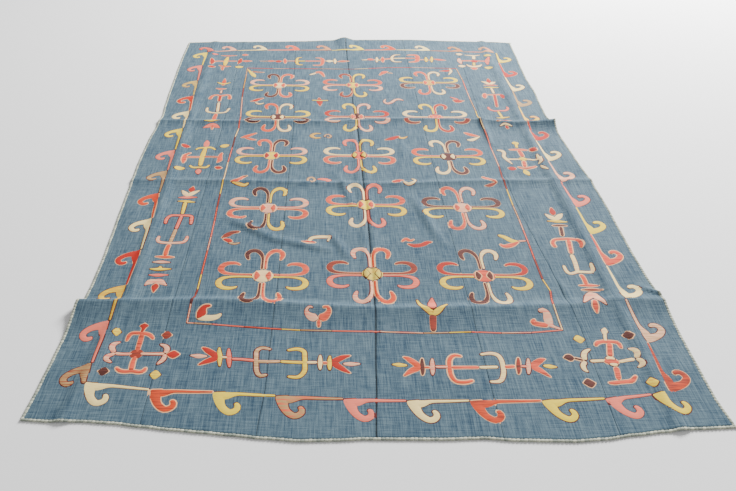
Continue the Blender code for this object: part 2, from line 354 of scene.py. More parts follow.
def dimmed(tree, colour, factor):
    """A colour made darker or lighter by a factor."""
    node = tree.nodes.new("ShaderNodeVectorMath")
    node.operation = "SCALE"
    tree.links.new(colour, node.inputs[0])
    tree.links.new(factor, node.inputs["Scale"])
    return node.outputs[0]


def finish_look(tree, shader, colour, height, depth, strength):
    """Wires a shader's colour, and the fine relief of its yarn."""
    tree.links.new(colour, shader.inputs["Base Color"])
    bump = tree.nodes.new("ShaderNodeBump")
    bump.inputs["Distance"].default_value = depth
    bump.inputs["Strength"].default_value = strength
    tree.links.new(height, bump.inputs["Height"])
    tree.links.new(bump.outputs[0], shader.inputs["Normal"])


def slubby_weave():
    """Plain weave of uneven hand-spun yarn: a Tone from 0 to 1 and a Height, from a place in metres."""
    group = bpy.data.node_groups.new("slubby plain weave", "ShaderNodeTree")
    for name, way, kind in (
        ("Place", "INPUT", "NodeSocketVector"), ("Thread Pitch", "INPUT", "NodeSocketFloat"),
        ("Tone", "OUTPUT", "NodeSocketFloat"), ("Height", "OUTPUT", "NodeSocketFloat"),
    ):
        group.interface.new_socket(name, in_out=way, socket_type=kind)
    enter = group.nodes.new("NodeGroupInput")
    leave = group.nodes.new("NodeGroupOutput")
    place, pitch = enter.outputs["Place"], enter.outputs["Thread Pitch"]
    warp = streaks(group, place, WARP_GRAIN)
    weft = streaks(group, place, WEFT_GRAIN)
    long_warp = streaks(group, place, LONG_GRAIN, detail=3.0)
    cloud = streaks(group, place, CLOUDS, detail=5.0)
    split = group.nodes.new("ShaderNodeSeparateXYZ")
    group.links.new(place, split.inputs[0])
    turns = maths(group, "DIVIDE", tau, pitch)
    over = maths(group, "SINE", maths(group, "MULTIPLY", split.outputs[0], turns))
    under = maths(group, "SINE", maths(group, "MULTIPLY", split.outputs[1], turns))
    knuckles = maths(group, "MULTIPLY", over, under)
    tone = weighted(
        group, (warp, WARP_SHARE), (weft, WEFT_SHARE), (long_warp, LONG_SHARE), (cloud, CLOUD_SHARE)
    )
    height = weighted(group, (warp, 1.0), (weft, 1.0), (knuckles, KNUCKLE_SHARE))
    group.links.new(tone, leave.inputs["Tone"])
    group.links.new(height, leave.inputs["Height"])
    return group


def strip_look():
    """Blue-grey wool cloth: the weave's tone picks between two shades of the dye, and painted shade darkens
    it along the seams.
    """
    made, tree, shader = look("blue_grey_wool_cloth", roughness=0.92)
    place = tree.nodes.new("ShaderNodeTexCoord").outputs["Object"]
    weave = tree.nodes.new("ShaderNodeGroup")
    weave.node_tree = WEAVE
    weave.inputs["Thread Pitch"].default_value = THREAD_PITCH
    tree.links.new(place, weave.inputs["Place"])
    tone = weighted(tree, (weave.outputs["Tone"], 1.0), (painted(tree, "dark"), -DARK_STRENGTH))
    # Painted shade: beside the seams the cloth's colour is darkened by the painted seam amount times streaks.
    shade_breakup = maths(tree, "ADD", streaks(tree, place, SEAM_SHADE_BREAKUP), SEAM_SHADE_BREAKUP_LEAST)
    painted_seam_shade = maths(tree, "MULTIPLY", maths(tree, "MULTIPLY", painted(tree, "seam"), shade_breakup), PAINTED_SEAM_SHADE_STRENGTH)
    colour = dimmed(tree, shades(tree, tone, CLOTH_SHADES), maths(tree, "SUBTRACT", 1.0, painted_seam_shade))
    finish_look(tree, shader, colour, weave.outputs["Height"], depth=0.0007, strength=0.7)
    return made


def new_piece(name, mesh, material):
    """Turns a bmesh into a smooth-shaded piece of the rug that goes with its one body."""
    for face in mesh.faces:
        face.smooth = True
    data = bpy.data.meshes.new(name)
    mesh.to_mesh(data)
    mesh.free()
    data.materials.append(material)
    piece = bpy.data.objects.new(name, data)
    bpy.context.scene.collection.objects.link(piece)
    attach(piece, "root")
    return piece


WEAVE = slubby_weave()
WOOL_CLOTH = strip_look()
for number in range(6):
    x, y = strip_places(number)
    z = cloth_top(x, y)
    last = x.shape[1] - 1
    mesh = bmesh.new()
    dark = mesh.verts.layers.float.new("dark")
    seam = mesh.verts.layers.float.new("seam")
    grid = bmesh.ops.create_grid(mesh, x_segments=last, y_segments=x.shape[0] - 1, size=0.5)
    for vert in grid["verts"]:
        row = round((vert.co.y + 0.5) * (x.shape[0] - 1))
        column = round((vert.co.x + 0.5) * last)
        vert.co = (x[row, column], y[row, column], z[row, column])
        vert[dark] = STRIP_DARK[number]
        from_left, from_right = SEAM_FADE.get(column, 0.0), SEAM_FADE.get(last - column, 0.0)
        # the painted seam shade, fading over the columns next to each seam
        vert[seam] = max(SEAM_SHADE[number] * from_left, SEAM_SHADE[number + 1] * from_right)
    strip = new_piece(f"cloth_strip_{number + 1}", mesh, WOOL_CLOTH)
    body = strip.modifiers.new("cloth thickness", "SOLIDIFY")
    body.thickness = CLOTH_THICK - OFF_FLOOR
    body.offset = -1.0
    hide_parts(f"strip_{number + 1}")

# The overcasting: thick pale yarn whipped over all four raw edges, each stitch a slanting turn that
# goes into the cloth a little way in, crosses the edge and comes back underneath.
STITCH_PITCH = 0.0100
STITCH_SLANT = 0.0030
# How far each stitch may differ from the next, and the range of its tints
PITCH_RANGE, SLANT_RANGE, REACH_RANGE, TINT_RANGE = (0.93, 1.07), (0.7, 1.3), (0.94, 1.06), (0.2, 1.0)
STITCH_SEED = 11
STITCH_LOWEST = 0.0001
EDGE_SAMPLES, EDGE_BEYOND = 1200, 0.02  # points on an edge's line, and how far it runs past its ends
STITCH_BULGE, STITCH_SINK = 0.0009, 0.0004
STITCH_COVER = 0.94  # of the pitch
STITCH_REACH = 0.011  # the way in from the outline over which the slant is spent
YARN_SHADES = ((0.25, (112, 124, 116)), (0.95, (206, 208, 184)))
PLY_SHARE, SHADE_SHARE = 0.5, 0.6
# The turn's path over the edge: distance in from the rug's outline, height above the underside
STITCH_TURN = ((0.0084, 0.0016), (0.0074, 0.0029), (0.0048, 0.0035), (0.0020, 0.0032), (0.0006, 0.0020),
               (0.0012, 0.0007), (0.0040, 0.0003))


def yarn_look():
    """Pale grey-green and cream yarn: fine twisted plies, each stitch a little lighter or darker."""
    made, tree, shader = look("pale_overcasting_yarn", roughness=0.9)
    place = tree.nodes.new("ShaderNodeTexCoord").outputs["Object"]
    plies = streaks(tree, place, (900.0, 900.0, 900.0))
    tone = weighted(tree, (plies, PLY_SHARE), (painted(tree, "shade"), SHADE_SHARE))
    finish_look(tree, shader, shades(tree, tone, YARN_SHADES), plies, depth=0.0005, strength=0.6)
    return made


OVERCAST_YARN = yarn_look()
chance = np.random.default_rng(STITCH_SEED)
for side, table, ends, inward in (
    ("front", FRONT_EDGE, (-0.902, 0.898), (0, 1)),
    ("back", BACK_EDGE, (-0.898, 0.900), (0, -1)),
    ("left", LEFT_EDGE, (-1.318, 1.296), (1, 0)),
    ("right", RIGHT_EDGE, (-1.314, 1.334), (-1, 0)),
):
    mesh = bmesh.new()
    shade = mesh.verts.layers.float.new("shade")
    fine = np.linspace(ends[0] - EDGE_BEYOND, ends[1] + EDGE_BEYOND, EDGE_SAMPLES)
    edge_line = along(table, fine)
    at = ends[0]
    while at < ends[1]:
        pitch = STITCH_PITCH * chance.uniform(*PITCH_RANGE)
        slant = STITCH_SLANT * chance.uniform(*SLANT_RANGE)
        reach = chance.uniform(*REACH_RANGE)
        tint = chance.uniform(*TINT_RANGE)
        grid = bmesh.ops.create_grid(mesh, x_segments=4, y_segments=len(STITCH_TURN) - 1, size=0.5)
        for vert in grid["verts"]:
            across = vert.co.x * 2
            place = round((vert.co.y + 0.5) * (len(STITCH_TURN) - 1))
            deep, high = STITCH_TURN[place]
            before = STITCH_TURN[max(place - 1, 0)]
            after = STITCH_TURN[min(place + 1, len(STITCH_TURN) - 1)]
            run = np.array([after[0] - before[0], after[1] - before[1]])
            out = np.array([run[1], -run[0]]) / np.hypot(*run)
            bulge = STITCH_BULGE * (1 - across ** 2) - STITCH_SINK
            deep = deep * reach + out[0] * bulge
            high = max(high + out[1] * bulge, STITCH_LOWEST)
            spot = at + pitch / 2 * (1 + STITCH_COVER * across) + slant * (deep / STITCH_REACH - 0.5)
            line = np.interp(spot, fine, edge_line)
            spot_x, spot_y = (spot, line) if inward[0] == 0 else (line, spot)
            spot_x, spot_y = spot_x + inward[0] * deep, spot_y + inward[1] * deep
            vert.co = (spot_x, spot_y, high)
            vert[shade] = tint
        at += pitch
    points = np.array([vert.co for vert in mesh.verts])
    for vert, low in zip(mesh.verts, underside(points[:, 0], points[:, 1])):
        vert.co.z += low
    if inward[0] > 0 or inward[1] < 0:
        bmesh.ops.reverse_faces(mesh, faces=mesh.faces[:])
    whip = new_piece(f"overcasting_{side}", mesh, OVERCAST_YARN)
    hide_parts(f"overcast_{side}")

# The hook border: a line of yarn down each side with a hooked horn at every hand's width, couched in
# long stitches that run across the rug, each band edged with a line of a contrasting yarn.
YARNS = {
    "cream": dye(246, 219, 146), "yellow": dye(236, 206, 62), "green": dye(210, 190, 84),
    "gold": dye(220, 168, 54), "coral": dye(228, 92, 64), "orange": dye(210, 76, 40),
    "red": dye(184, 42, 32), "pink": dye(236, 122, 100), "pale": dye(234, 180, 142),
    "tan": dye(178, 142, 94), "rust": dye(150, 58, 42), "brown": dye(96, 52, 44),
    "dark": dye(66, 34, 32), "edge": dye(86, 34, 34), "straw": dye(236, 182, 130),
}
# The yarn that shows in streaks through each, where a shape names no other
STREAKS = {
    "cream": "pale", "yellow": "gold", "green": "gold", "gold": "tan", "coral": "rust", "orange": "coral",
    "red": "rust", "pink": "coral", "pale": "pink", "tan": "pale", "rust": "brown", "brown": "dark",
    "dark": "brown", "edge": "edge", "straw": "straw",
}
DARK_YARNS = ("coral", "orange", "red", "rust", "brown", "dark")  # these are edged in straw
FILL_HIGH, EDGE_HIGH = 0.0009, 0.0005
EDGE_WIDE = 0.0030
FULL_HALF, THIN_SHARE = 0.003, 0.25  # a band of this half width stands full height, a hairline this share
BAND_SINK = 0.0003  # a band's edges lie this far inside the cloth
LEAST_CAP, BLUNT_CAP, LEAST_HALF = 0.0008, 0.003, 0.0002  # a rounded end's length, and half a tip's width
CAP_EASE = np.array([0.0, 0.08, 0.3, 0.6])  # where the rounded ends have their rows
SHORT_BAND, SHORT_STEP, LONG_STEP = 0.08, 0.004, 0.0065  # longer bands have their rows further apart
MM = 0.001

# The horn and its stem. Columns: mm along the border, mm outwards, width
HOOK_HORN = (
    (21, 6, 42), (22, 15, 42), (24, 27, 36), (28, 40, 30), (35, 53, 26), (45, 63, 25), (57, 69, 24),
    (69, 65, 23), (76, 55, 22), (73, 45, 20), (66, 41, 15),
)
HOOK_STEM = (
    (10, 16, 28), (36, 17, 30), (50, 14.5, 25), (62, 11, 18), (76, 9, 14), (100, 8.5, 12.5), (130, 8, 11),
    (160, 7, 9), (175, 6.5, 8),
)
HOOK_SPACING = 172  # from horn to horn, as charted: a stem is stretched or shortened to its own spacing
STEM_PAST = 6  # how far a stem may run under the next horn
# Neighbours and second layers stand off each other by hairs, so that no two faces share a plane
NEXT_LIFT, HORN_LIFT = 0.00015, 0.00007
YARN_GRAIN, WEAR_GRAIN = (14.0, 330.0, 1.0), (60.0, 500.0, 1.0)
STREAK_FROM, STREAK_TO = 0.50, 0.60
WEAR_STRENGTH, WEAR_LEAST = 0.45, 0.72

# Where each horn starts, in the order they were worked, and its yarn. Columns: x, y, yarn, second yarn
FRONT_HOOKS = (
    (-0.775, -1.186, "cream", "cream"), (-0.601, -1.208, "orange", "rust"),
    (-0.433, -1.214, "yellow", "yellow"), (-0.268, -1.224, "tan", "coral"),
    (-0.091, -1.232, "pink", "pink"), (0.073, -1.236, "cream", "cream"),
    (0.237, -1.234, "orange", "rust"), (0.424, -1.231, "yellow", "yellow"), (0.592, -1.222, "pink", "pink"),
    (0.720, -1.206, "yellow", "yellow"),
)
RIGHT_HOOKS = (
    (0.767, -1.207, "rust", "orange"), (0.778, -1.025, "pale", "tan"), (0.776, -0.849, "cream", "cream"),
    (0.778, -0.673, "coral", "red"), (0.779, -0.499, "yellow", "yellow"), (0.779, -0.330, "pink", "pink"),
    (0.771, -0.161, "pale", "pink"), (0.765, 0.006, "cream", "cream"), (0.757, 0.178, "red", "red"),
    (0.753, 0.338, "yellow", "pink"), (0.759, 0.510, "tan", "tan"), (0.769, 0.681, "cream", "cream"),
    (0.768, 0.852, "red", "red"), (0.775, 1.040, "yellow", "yellow"), (0.788, 1.180, "yellow", "yellow"),
)
BACK_HOOKS = (
    (0.788, 1.180, "tan", "pink"), (0.620, 1.189, "tan", "orange"), (0.441, 1.201, "cream", "cream"),
    (0.255, 1.208, "orange", "red"), (0.081, 1.203, "yellow", "yellow"), (-0.100, 1.196, "tan", "pink"),
    (-0.272, 1.193, "coral", "coral"), (-0.449, 1.190, "cream", "cream"), (-0.615, 1.180, "pale", "pink"),
    (-0.738, 1.162, "pink", "red"),
)
LEFT_HOOKS = (
    (-0.768, 1.158, "yellow", "yellow"), (-0.772, 0.980, "pink", "pink"), (-0.766, 0.784, "tan", "yellow"),
    (-0.760, 0.605, "red", "orange"), (-0.751, 0.439, "cream", "cream"), (-0.753, 0.268, "yellow", "yellow"),
    (-0.752, 0.075, "pink", "pink"), (-0.753, -0.092, "tan", "tan"), (-0.754, -0.255, "orange", "red"),
    (-0.746, -0.425, "cream", "cream"), (-0.745, -0.610, "red", "red"), (-0.752, -0.790, "gold", "yellow"),
    (-0.761, -0.958, "pink", "pink"), (-0.767, -1.124, "tan", "rust"), (-0.768, -1.196, "tan", "tan"),
)


def smooth_line(path, step=0.002):
    """Close points on a curve through the stations (x, y, width)."""
    points = np.array(path, float)
    points = np.vstack([2 * points[0] - points[1], points, 2 * points[-1] - points[-2]])
    found = []
    for a, b, c, d in zip(points, points[1:], points[2:], points[3:]):
        count = max(2, int(np.hypot(*(c - b)[:2]) / step) + 1)
        t = np.linspace(0, 1, count, endpoint=False)[:, None]
        found.append(0.5 * (2 * b + (c - a) * t + (2 * a - 5 * b + 4 * c - d) * t ** 2
                            + (3 * b - a - 3 * c + d) * t ** 3))
    return np.vstack(found + [points[-2:-1]])


def add_band(mesh, path, yarn, second, spread, high, blunt):
    """One raised band of couched yarn along a line, spread past the line's own width on all sides.
    Heights are above the cloth until the piece is laid on it."""
    line = smooth_line(path)
    run = np.concatenate([[0.0], np.cumsum(np.hypot(*np.diff(line[:, :2], axis=0).T))])
    total = run[-1]
    caps = [max(LEAST_CAP, line[0, 2] / 2), max(LEAST_CAP, line[-1, 2] / 2)]
    caps = [min(caps[0], BLUNT_CAP) + spread if blunt else caps[0] + spread, caps[1] + spread]
    start, stop = -spread, total + spread
    count = max(2, int((stop - start - sum(caps)) / (LONG_STEP if total > SHORT_BAND else SHORT_STEP)) + 2)
    middle = np.linspace(start + caps[0], stop - caps[1], count)
    if stop - caps[1] <= start + caps[0]:
        middle = np.array([(start + stop) / 2])
    places = np.concatenate([start + caps[0] * CAP_EASE, middle, stop - caps[1] * CAP_EASE[::-1]])
    places = np.unique(np.clip(places, start, stop))
    inside = np.clip(places, 0.0, total)
    centre = np.array([np.interp(inside, run, line[:, i]) for i in (0, 1)]).T
    apart = run + np.arange(len(run)) * 1e-9  # so that no two places on the line are the same
    heading = np.array([np.interp(inside, run, np.gradient(line[:, i], apart)) for i in (0, 1)]).T
    heading /= np.hypot(*heading.T)[:, None]
    centre += heading * (places - inside)[:, None]
    half = np.interp(inside, run, line[:, 2]) / 2 + spread
    for cap, gone in ((caps[0], places - start), (caps[1], stop - places)):
        share = np.clip(gone / cap, 0.0, 1.0)
        edge = np.sqrt(np.clip(1 - (1 - share) ** 2, 0.0, 1.0))
        half = np.minimum(half, np.where(share < 1, (half - cap + cap * edge), half))
    half = np.maximum(half, LEAST_HALF)
    full = np.clip(half / FULL_HALF, THIN_SHARE, 1.0)
    grid = bmesh.ops.create_grid(mesh, x_segments=len(places) - 1, y_segments=4, size=0.5)
    for vert in grid["verts"]:
        place = round((vert.co.x + 0.5) * (len(places) - 1))
        across = vert.co.y * 2
        (cx, cy), (tx, ty) = centre[place], heading[place]
        off = across * half[place]
        vert.co = (cx - ty * off, cy + tx * off, high * full[place] * (1 - across ** 4) - BAND_SINK)
        vert[mesh.verts.layers.float_color["yarn"]] = YARNS[yarn]
        vert[mesh.verts.layers.float_color["second"]] = YARNS[second]


def stitch(mesh, path, yarn, second=None, edge=None, lift=0.0, blunt=False):
    """A filled shape and the thin line of contrasting yarn round it. Stations are in metres."""
    if edge is None:
        edge = "straw" if yarn in DARK_YARNS else "edge"
    add_band(mesh, path, edge, edge, EDGE_WIDE, EDGE_HIGH + lift, blunt)
    add_band(mesh, path, yarn, second or STREAKS[yarn], 0.0, FILL_HIGH + lift, blunt)


def set_out(chart, x, y, heading=0.0, flip=1, stout=1.0):
    """A chart in millimetres, turned by a heading in degrees and moved to its place on the rug."""
    c, s = np.cos(radians(heading)), np.sin(radians(heading))
    return [(x + MM * (c * a - s * b * flip), y + MM * (s * a + c * b * flip), w * MM * stout)
            for a, b, w in chart]


def needlework():
    """An empty mesh with the two colours that each band carries."""
    mesh = bmesh.new()
    mesh.verts.layers.float_color.new("yarn")
    mesh.verts.layers.float_color.new("second")
    return mesh


def lay_on_cloth(mesh):
    """Moves every point up from the cloth's own height."""
    points = np.array([vert.co for vert in mesh.verts])
    for vert, top in zip(mesh.verts, cloth_top(points[:, 0], points[:, 1])):
        vert.co.z += top


def embroidery_look():
    """Couched wool: long stitches side by side, worn in places, with streaks of the second yarn."""
    made, tree, shader = look("couched_wool_embroidery", roughness=0.85)
    place = tree.nodes.new("ShaderNodeTexCoord").outputs["Object"]
    pick = tree.nodes.new("ShaderNodeMapRange")
    pick.inputs["From Min"].default_value = STREAK_FROM
    pick.inputs["From Max"].default_value = STREAK_TO
    tree.links.new(streaks(tree, place, YARN_GRAIN), pick.inputs["Value"])
    blend = tree.nodes.new("ShaderNodeMix")
    blend.data_type = "RGBA"
    tree.links.new(pick.outputs[0], blend.inputs["Factor"])
    tree.links.new(painted(tree, "yarn", "Color"), blend.inputs[6])
    tree.links.new(painted(tree, "second", "Color"), blend.inputs[7])
    wear = streaks(tree, place, WEAR_GRAIN, detail=3.0)
    dim = maths(tree, "ADD", maths(tree, "MULTIPLY", wear, WEAR_STRENGTH), WEAR_LEAST)
    finish_look(tree, shader, dimmed(tree, blend.outputs[2], dim), wear, depth=0.0006, strength=0.6)
    return made


EMBROIDERY = embroidery_look()
HOOK_SIDES = (("front", FRONT_HOOKS), ("right", RIGHT_HOOKS), ("back", BACK_HOOKS), ("left", LEFT_HOOKS))
for name, hooks in HOOK_SIDES:
    mesh = needlework()
    for place, (x, y, yarn, second) in enumerate(hooks):
        lift = NEXT_LIFT * (place % 2)
        if place + 1 < len(hooks):
            to_x, to_y = hooks[place + 1][:2]
            heading = np.degrees(np.arctan2(to_y - y, to_x - x))
            spacing = np.hypot(to_x - x, to_y - y) / MM
            # the stub before a corner isn't shortened but cut off
            reach = spacing / HOOK_SPACING if spacing > HOOK_SPACING / 2 else 1.0
            stem = [(a * reach, b, w) for a, b, w in HOOK_STEM if a * reach < spacing + STEM_PAST]
            stem = set_out(stem, x, y, heading, flip=-1)
            stitch(mesh, stem, yarn, second, lift=lift)
        if place + 1 < len(hooks) or name in ("front", "back"):
            horn = set_out(HOOK_HORN, x, y, heading, flip=-1)
            stitch(mesh, horn, yarn, second, lift=lift + HORN_LIFT, blunt=True)
    lay_on_cloth(mesh)
    new_piece(f"hook_border_{name}", mesh, EMBROIDERY)

# The inner frame: a single line of yarn round the field, its colour changed every span or so.
FRAME_WIDE = 0.0055
SPAN_LIFT = 0.00012
# The line's corners and the end of every span. Columns: yarn, x, y
FRAME_SIDES = (
    ("left", (-0.540, 0.945), (
        ("tan", -0.537, 0.816), ("gold", -0.536, 0.696), ("rust", -0.532, 0.594), ("pale", -0.519, 0.382),
        ("coral", -0.516, 0.270), ("cream", -0.523, 0.192), ("brown", -0.525, 0.098),
        ("pink", -0.529, -0.022), ("cream", -0.530, -0.169), ("yellow", -0.531, -0.263),
        ("rust", -0.531, -0.350), ("coral", -0.529, -0.434), ("pink", -0.529, -0.532),
        ("pale", -0.530, -0.610), ("coral", -0.532, -0.735), ("yellow", -0.533, -0.811),
        ("rust", -0.538, -0.857), ("brown", -0.540, -0.889), ("pale", -0.541, -0.962),
    )),
    ("front", (-0.541, -0.962), (
        ("pale", -0.520, -0.963), ("tan", -0.467, -0.966), ("pink", -0.372, -0.975),
        ("coral", -0.263, -0.983), ("yellow", -0.207, -0.986), ("tan", -0.116, -0.988),
        ("pink", 0.023, -0.990), ("pale", 0.149, -0.993), ("tan", 0.223, -0.990), ("yellow", 0.289, -0.986),
        ("pink", 0.375, -0.989), ("pale", 0.463, -0.986), ("pink", 0.556, -0.974),
    )),
    ("right", (0.544, 0.963), (
        ("tan", 0.553, 0.806), ("pink", 0.552, 0.692), ("pale", 0.553, 0.590), ("tan", 0.557, 0.467),
        ("yellow", 0.554, 0.367), ("cream", 0.558, 0.262), ("pink", 0.560, 0.100), ("pale", 0.562, -0.038),
        ("rust", 0.556, -0.154), ("rust", 0.557, -0.206), ("yellow", 0.556, -0.319), ("tan", 0.558, -0.408),
        ("pale", 0.558, -0.477), ("pink", 0.558, -0.557), ("coral", 0.557, -0.643), ("rust", 0.557, -0.743),
        ("yellow", 0.567, -0.800), ("coral", 0.554, -0.872), ("cream", 0.556, -0.974),
    )),
    ("back", (-0.540, 0.945), (
        ("coral", -0.406, 0.940), ("pale", -0.323, 0.942), ("coral", -0.173, 0.940), ("tan", -0.039, 0.941),
        ("rust", 0.013, 0.943), ("cream", 0.085, 0.952), ("pink", 0.185, 0.966), ("coral", 0.311, 0.971),
        ("pale", 0.435, 0.966), ("coral", 0.544, 0.963),
    )),
)
for name, (x, y), spans in FRAME_SIDES:
    mesh = needlework()
    for place, (yarn, to_x, to_y) in enumerate(spans):
        span = [(x, y, FRAME_WIDE), (to_x, to_y, FRAME_WIDE)]
        stitch(mesh, span, yarn, edge="edge", lift=SPAN_LIFT * (place % 2))
        x, y = to_x, to_y
    lay_on_cloth(mesh)
    new_piece(f"inner_frame_{name}", mesh, EMBROIDERY)

# The fifteen field crosses: a round centre with four stems, each stem two yarns side by side that part
# and curl back as a pair of ram's horns.
SIDE_HORN = (
    (32, 5.5, 10), (78, 5.5, 10), (104, 7.5, 13), (126, 14, 19), (137, 28, 24), (135, 45, 25), (122, 58, 22),
    (103, 62, 19), (88, 60, 15), (77, 53, 10),
)
END_HORN = (
    (5.5, 34, 10), (5.5, 75, 10), (7.5, 97, 13), (14, 115, 18), (26, 129, 22), (41, 132, 22), (54, 124, 22),
    (59, 110, 20), (57, 96, 17), (52, 82, 11),
)
ROUND_CENTRE = (
    (-35, 0, 6), (-33, 0, 22), (-29, 0, 38), (-23, 0, 52), (-13, 0, 64), (0, 0, 69), (13, 0, 64), (23, 0, 52),
    (29, 0, 38), (33, 0, 22), (35, 0, 6),
)
SIDE_LENS = ((21, -23, 1), (20, -13, 18), (19, -6, 27), (18, 0, 31), (19, 6, 27), (20, 13, 18), (21, 23, 1))

# Columns: x, y, upper and lower horn of the side stems, left and right horn of the end stems,
# yarn of the centre, yarn of the two lenses at its sides
CROSSES = (
    (-0.362, 0.732, "pale", "yellow", "brown", "coral", "cream", "coral"),
    (-0.001, 0.742, "coral", "pale", "rust", "yellow", "yellow", "coral"),
    (0.381, 0.778, "yellow", "brown", "coral", "cream", "gold", "orange"),
    (-0.351, 0.384, "yellow", "dark", "orange", "cream", "brown", "cream"),
    (0.008, 0.392, "red", "pale", "yellow", "pale", "brown", "coral"),
    (0.364, 0.395, "cream", "rust", "yellow", "red", "coral", "coral"),
    (-0.357, 0.034, "pale", "yellow", "coral", "brown", "yellow", "red"),
    (0.004, 0.040, "cream", "coral", "pink", "yellow", "coral", "yellow"),
    (0.369, 0.038, "orange", "yellow", "cream", "brown", "brown", "cream"),
    (-0.344, -0.352, "pale", "coral", "dark", "yellow", "pale", "coral"),
    (0.014, -0.328, "coral", "yellow", "cream", "pink", "yellow", "coral"),
    (0.367, -0.337, "brown", "yellow", "coral", "pale", "pale", "coral"),
    (-0.335, -0.740, "coral", "yellow", "brown", "coral", "cream", "coral"),
    (0.016, -0.727, "rust", "pink", "pale", "orange", "green", "green"),
    (0.374, -0.729, "red", "yellow", "brown", "cream", "coral", "brown"),
)
PAIR_LIFT, CENTRE_LIFT, LENS_LIFT = 0.0001, 0.0002, 0.0012
mesh = needlework()
for x, y, upper, lower, left, right, centre, lens in CROSSES:
    for way in (1, -1):
        for order, (yarn, chart, flip) in enumerate(((upper, SIDE_HORN, way), (lower, SIDE_HORN, -way))):
            # the upper yarn lies on the far side of both side stems
            horn = set_out(chart, x, y, 0 if way > 0 else 180, flip=flip)
            stitch(mesh, horn, yarn, lift=PAIR_LIFT * order)
        for order, (yarn, side) in enumerate(((left, -1), (right, 1))):
            chart = [(side * a, way * b, w) for a, b, w in END_HORN]
            stitch(mesh, set_out(chart, x, y), yarn, lift=PAIR_LIFT * order)
    stitch(mesh, set_out(ROUND_CENTRE, x, y), centre, lift=CENTRE_LIFT)
    for way in (1, -1):
        stitch(mesh, set_out([(way * a, b, w) for a, b, w in SIDE_LENS], x, y), lens, lift=LENS_LIFT)
lay_on_cloth(mesh)
new_piece("field_crosses", mesh, EMBROIDERY)

